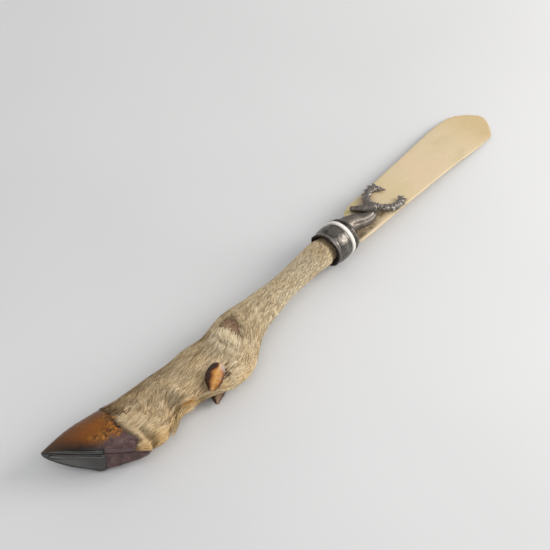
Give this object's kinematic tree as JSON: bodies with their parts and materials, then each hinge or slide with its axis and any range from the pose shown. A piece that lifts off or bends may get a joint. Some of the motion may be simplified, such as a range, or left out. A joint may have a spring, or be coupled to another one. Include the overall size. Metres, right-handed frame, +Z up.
{
  "type": "paper knife",
  "caption": "Paper knife and page turner with a flat bone blade, a stag's-head mount, a silver collar and a dried deer's-foot handle.",
  "frame": {"origin": "middle of the object's box, on the table it lies on", "axes": "+X along the knife from the hoof to the blade's tip, +Z up from the table; the foot's sole side faces -Y"},
  "size_m": [0.349, 0.0465, 0.0257],
  "materials": {
    "hide": "short dry deer hair on dried skin",
    "inner_bone": "dry bone",
    "tendon": "dried sinew",
    "amber_horn": "polished amber horn, dark at the ground edge",
    "dark_horn": "polished slate-grey horn",
    "heel_pad": "smooth dried pad, mauve brown",
    "dewclaw_horn": "brown and cream horn",
    "collar_silver": "tarnished silver, worn bright on the rims",
    "mount_silver": "dark cast silver, worn bright on high spots",
    "white_bone": "polished white bone",
    "blade_bone": "aged cream bone with a soft polish",
    "mastic": "dark rough mastic"
  },
  "bodies": {
    "root": {"hide": "hide", "cannon_bone": "inner_bone", "sesamoid_bones": "inner_bone", "upper_first_phalanx": "inner_bone", "lower_first_phalanx": "inner_bone", "upper_second_phalanx": "inner_bone", "lower_second_phalanx": "inner_bone", "upper_pedal_bone": "inner_bone", "lower_pedal_bone": "inner_bone", "flexor_tendon": "tendon", "upper_hoof_wall": "amber_horn", "lower_hoof_wall": "amber_horn", "upper_sole": "dark_horn", "lower_sole": "dark_horn", "upper_heel_bulb": "heel_pad", "lower_heel_bulb": "heel_pad", "upper_dewclaw": "dewclaw_horn", "lower_dewclaw": "dewclaw_horn", "collar": "collar_silver", "collar_lip": "collar_silver", "bone_ring": "white_bone", "bead_rings": "collar_silver", "end_cap": "collar_silver", "cement_filling": "mastic", "blade": "blade_bone", "stag_head": "mount_silver", "stag_ears": "mount_silver", "left_antler": "mount_silver", "right_antler": "mount_silver", "mount_peg": "mount_silver"}
  },
  "joints": []
}
